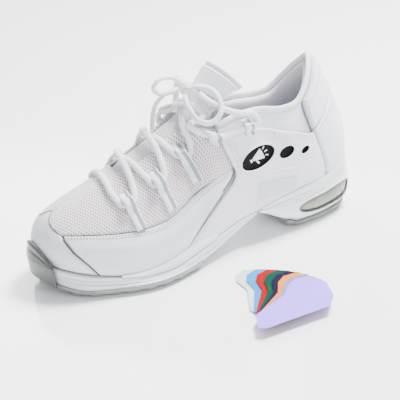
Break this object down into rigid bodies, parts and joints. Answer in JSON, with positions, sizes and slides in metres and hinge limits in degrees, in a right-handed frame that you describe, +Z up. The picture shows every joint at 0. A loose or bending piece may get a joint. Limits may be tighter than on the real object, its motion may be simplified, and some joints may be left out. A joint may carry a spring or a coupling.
{
  "type": "cheer shoe",
  "caption": "Low-cut white cheer shoe with mesh vamp, split sole and laces, a side pocket holding a slide-in colour badge behind windows, and a fan of spare badge cards.",
  "frame": {"origin": "on the floor under the middle of the whole object, shoe and spare cards together, free cords left out", "axes": "+X from toe to heel, -Y the outer side of the left shoe with the spare cards beyond it, +Z up"},
  "size_m": [0.2772, 0.222, 0.1427],
  "materials": {
    "aglet_left": "glossy",
    "aglet_right": "glossy",
    "air_window_lateral": "glossy",
    "air_window_medial": "glossy",
    "badge_card": "satin",
    "badge_pull_tab": "knit",
    "ball_wing": "satin foam",
    "bow_knot": "woven",
    "bow_loop_left": "woven",
    "bow_loop_right": "woven",
    "collar_binding": "smooth",
    "collar_lining": "knit",
    "heel_counter": "smooth",
    "heel_tab": "smooth",
    "lace_loop_lateral_1": "woven",
    "lace_loop_lateral_2": "woven",
    "lace_loop_lateral_3": "woven",
    "lace_loop_lateral_4": "woven",
    "lace_loop_lateral_5": "woven",
    "lace_loop_medial_1": "woven",
    "lace_loop_medial_2": "woven",
    "lace_loop_medial_3": "woven",
    "lace_loop_medial_4": "woven",
    "lace_loop_medial_5": "woven",
    "lace_tail_left": "woven",
    "lace_tail_right": "woven",
    "lacing_lateral": "woven",
    "lacing_medial": "woven",
    "lasting_board": "knit",
    "midsole_forefoot": "satin foam",
    "midsole_heel": "satin foam",
    "mudguard_lateral": "smooth",
    "mudguard_medial": "smooth",
    "outsole_forefoot": "satin",
    "outsole_heel": "satin",
    "pocket_backing": "knit",
    "quarter_backing_medial": "knit",
    "quarter_lateral": "smooth",
    "quarter_medial": "smooth",
    "sockliner": "brushed",
    "spare_card_gold": "satin",
    "spare_card_green": "satin",
    "spare_card_lavender": "satin",
    "spare_card_light_blue": "satin",
    "spare_card_navy": "satin",
    "spare_card_red": "satin",
    "spare_card_silver": "satin",
    "spare_card_white_green": "satin",
    "toe_bumper": "satin",
    "toe_cap": "smooth",
    "tongue": "spacer mesh",
    "tongue_binding": "woven",
    "vamp_mesh": "spacer mesh"
  },
  "bodies": {
    "shoe": {"aglet_left": "aglet_left", "aglet_right": "aglet_right", "air_window_lateral": "air_window_lateral", "air_window_medial": "air_window_medial", "ball_wing": "ball_wing", "bow_knot": "bow_knot", "bow_loop_left": "bow_loop_left", "bow_loop_right": "bow_loop_right", "collar_binding": "collar_binding", "collar_lining": "collar_lining", "heel_counter": "heel_counter", "heel_tab": "heel_tab", "lace_loop_lateral_1": "lace_loop_lateral_1", "lace_loop_lateral_2": "lace_loop_lateral_2", "lace_loop_lateral_3": "lace_loop_lateral_3", "lace_loop_lateral_4": "lace_loop_lateral_4", "lace_loop_lateral_5": "lace_loop_lateral_5", "lace_loop_medial_1": "lace_loop_medial_1", "lace_loop_medial_2": "lace_loop_medial_2", "lace_loop_medial_3": "lace_loop_medial_3", "lace_loop_medial_4": "lace_loop_medial_4", "lace_loop_medial_5": "lace_loop_medial_5", "lace_tail_left": "lace_tail_left", "lace_tail_right": "lace_tail_right", "lacing_lateral": "lacing_lateral", "lacing_medial": "lacing_medial", "lasting_board": "lasting_board", "midsole_forefoot": "midsole_forefoot", "midsole_heel": "midsole_heel", "mudguard_lateral": "mudguard_lateral", "mudguard_medial": "mudguard_medial", "outsole_forefoot": "outsole_forefoot", "outsole_heel": "outsole_heel", "pocket_backing": "pocket_backing", "quarter_backing_medial": "quarter_backing_medial", "quarter_lateral": "quarter_lateral", "quarter_medial": "quarter_medial", "sockliner": "sockliner", "spare_card_lavender": "spare_card_lavender", "toe_bumper": "toe_bumper", "toe_cap": "toe_cap", "vamp_mesh": "vamp_mesh"},
    "tongue": {"tongue": "tongue", "tongue_binding": "tongue_binding"},
    "badge": {"badge_card": "badge_card", "badge_pull_tab": "badge_pull_tab"},
    "card_white_green": {"spare_card_white_green": "spare_card_white_green"},
    "card_light_blue": {"spare_card_light_blue": "spare_card_light_blue"},
    "card_red": {"spare_card_red": "spare_card_red"},
    "card_green": {"spare_card_green": "spare_card_green"},
    "card_navy": {"spare_card_navy": "spare_card_navy"},
    "card_gold": {"spare_card_gold": "spare_card_gold"},
    "card_silver": {"spare_card_silver": "spare_card_silver"}
  },
  "joints": [
    {"name": "tongue_hinge", "type": "hinge", "parent": "shoe", "child": "tongue", "pos_m": [-0.0708, 0.06101, 0.068], "axis": [0, 1, 0], "range_deg": [0, 4.5]},
    {"name": "badge_slide", "type": "hinge", "parent": "shoe", "child": "badge", "pos_m": [0.0662, 0.47601, 0.005], "axis": [-1, 0, 0], "range_deg": [0, 3.2]},
    {"name": "fan_white_green", "type": "hinge", "parent": "shoe", "child": "card_white_green", "pos_m": [-0.0373, -0.11099, 0], "axis": [0, 0, 1], "range_deg": [-42, 6]},
    {"name": "fan_light_blue", "type": "hinge", "parent": "shoe", "child": "card_light_blue", "pos_m": [-0.0373, -0.11099, 0], "axis": [0, 0, 1], "range_deg": [-36, 5.14]},
    {"name": "fan_red", "type": "hinge", "parent": "shoe", "child": "card_red", "pos_m": [-0.0373, -0.11099, 0], "axis": [0, 0, 1], "range_deg": [-30, 4.29]},
    {"name": "fan_green", "type": "hinge", "parent": "shoe", "child": "card_green", "pos_m": [-0.0373, -0.11099, 0], "axis": [0, 0, 1], "range_deg": [-24, 3.43]},
    {"name": "fan_navy", "type": "hinge", "parent": "shoe", "child": "card_navy", "pos_m": [-0.0373, -0.11099, 0], "axis": [0, 0, 1], "range_deg": [-18, 2.57]},
    {"name": "fan_gold", "type": "hinge", "parent": "shoe", "child": "card_gold", "pos_m": [-0.0373, -0.11099, 0], "axis": [0, 0, 1], "range_deg": [-12, 1.71]},
    {"name": "fan_silver", "type": "hinge", "parent": "shoe", "child": "card_silver", "pos_m": [-0.0373, -0.11099, 0], "axis": [0, 0, 1], "range_deg": [-6, 0.86]}
  ],
  "couplings": [
    {"joint": "fan_light_blue", "follows": "fan_white_green", "ratio": 0.85714},
    {"joint": "fan_red", "follows": "fan_white_green", "ratio": 0.71429},
    {"joint": "fan_green", "follows": "fan_white_green", "ratio": 0.57143},
    {"joint": "fan_navy", "follows": "fan_white_green", "ratio": 0.42857},
    {"joint": "fan_gold", "follows": "fan_white_green", "ratio": 0.28571},
    {"joint": "fan_silver", "follows": "fan_white_green", "ratio": 0.14286}
  ]
}
